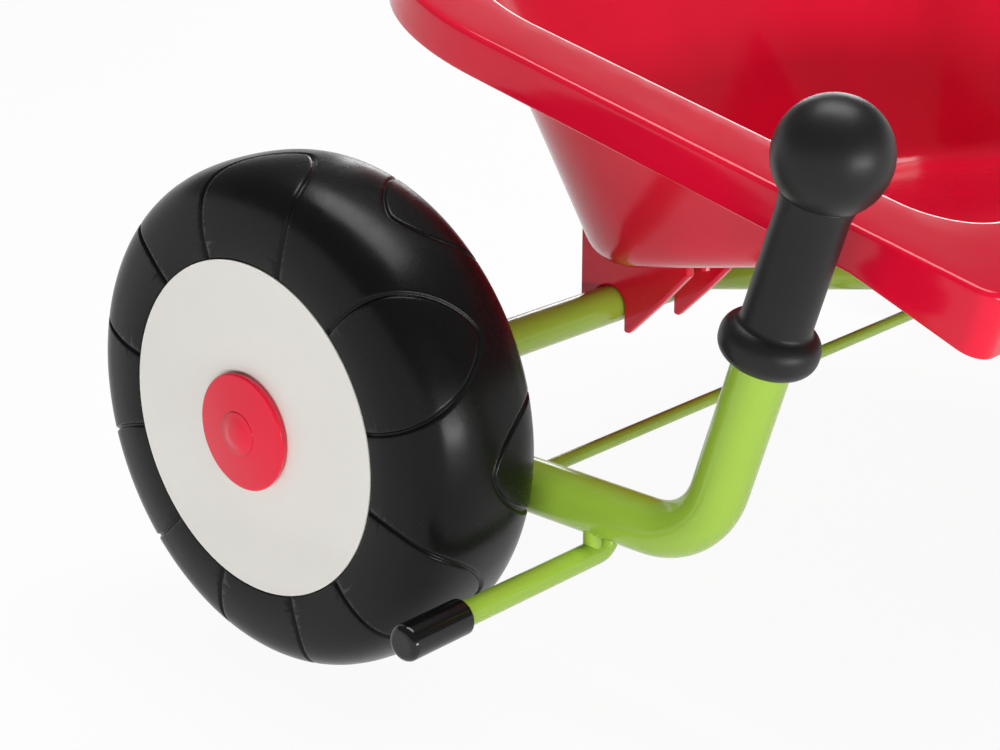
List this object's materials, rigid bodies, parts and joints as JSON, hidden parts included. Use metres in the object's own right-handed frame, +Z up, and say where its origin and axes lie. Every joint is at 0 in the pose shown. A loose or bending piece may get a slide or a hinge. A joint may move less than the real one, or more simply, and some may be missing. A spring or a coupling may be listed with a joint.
{
  "type": "wheelbarrow",
  "caption": "Toddler wheelbarrow with a moulded tray, a bent-tube frame with upright ball-end handles, wide wheels that spin freely and a rear stand.",
  "frame": {"origin": "centre of the bounding box's base, on the floor the barrow stands on", "axes": "+X to the barrow's right along the axle, +Y forward towards the tray's nose, +Z up"},
  "size_m": [0.7, 0.3676, 0.2751],
  "materials": {
    "tyre": "satin moulded black",
    "rim_plastic": "satin moulded black",
    "white_plastic": "satin off-white",
    "red_plastic": "gloss moulded red",
    "green_paint": "gloss lime green paint on steel tube",
    "grip_rubber": "matte black",
    "black_plastic": "gloss black",
    "bush_plastic": "natural nylon",
    "plated_steel": "zinc plated"
  },
  "bodies": {
    "frame": {"tray": "red_plastic", "stand_hoop": "green_paint", "axle_tube": "green_paint", "axle_rod": "plated_steel", "cross_rod": "green_paint", "left_outer_washer": "plated_steel", "right_outer_washer": "plated_steel", "left_inner_washer": "plated_steel", "right_inner_washer": "plated_steel", "left_push_nut": "plated_steel", "right_push_nut": "plated_steel", "left_axle_bush": "bush_plastic", "right_axle_bush": "bush_plastic", "left_rail": "green_paint", "right_rail": "green_paint", "left_rail_plug": "black_plastic", "right_rail_plug": "black_plastic", "left_hanger": "green_paint", "right_hanger": "green_paint", "left_grip": "grip_rubber", "right_grip": "grip_rubber", "left_side_bar": "green_paint", "right_side_bar": "green_paint", "left_bar_lug": "green_paint", "right_bar_lug": "green_paint", "left_bar_cap": "black_plastic", "right_bar_cap": "black_plastic", "left_stand_foot": "grip_rubber", "right_stand_foot": "grip_rubber", "left_axle_saddle": "red_plastic", "right_axle_saddle": "red_plastic", "left_saddle_screws": "plated_steel", "right_saddle_screws": "plated_steel", "left_tray_screws": "plated_steel", "right_tray_screws": "plated_steel", "left_tray_spacers": "black_plastic", "right_tray_spacers": "black_plastic", "left_tray_bar": "green_paint", "right_tray_bar": "green_paint", "left_bar_plug": "black_plastic", "right_bar_plug": "black_plastic"},
    "left_wheel": {"left_tyre": "tyre", "left_rim": "rim_plastic", "left_disc": "white_plastic", "left_hub_cap": "red_plastic", "left_wheel_bushes": "bush_plastic"},
    "right_wheel": {"right_tyre": "tyre", "right_rim": "rim_plastic", "right_disc": "white_plastic", "right_hub_cap": "red_plastic", "right_wheel_bushes": "bush_plastic"}
  },
  "joints": [
    {"name": "left_wheel_spin", "type": "hinge", "parent": "frame", "child": "left_wheel", "pos_m": [-0.2865, 0.07082, 0.105], "axis": [1, 0, 0], "continuous": true},
    {"name": "right_wheel_spin", "type": "hinge", "parent": "frame", "child": "right_wheel", "pos_m": [0.2865, 0.07082, 0.105], "axis": [1, 0, 0], "continuous": true}
  ]
}
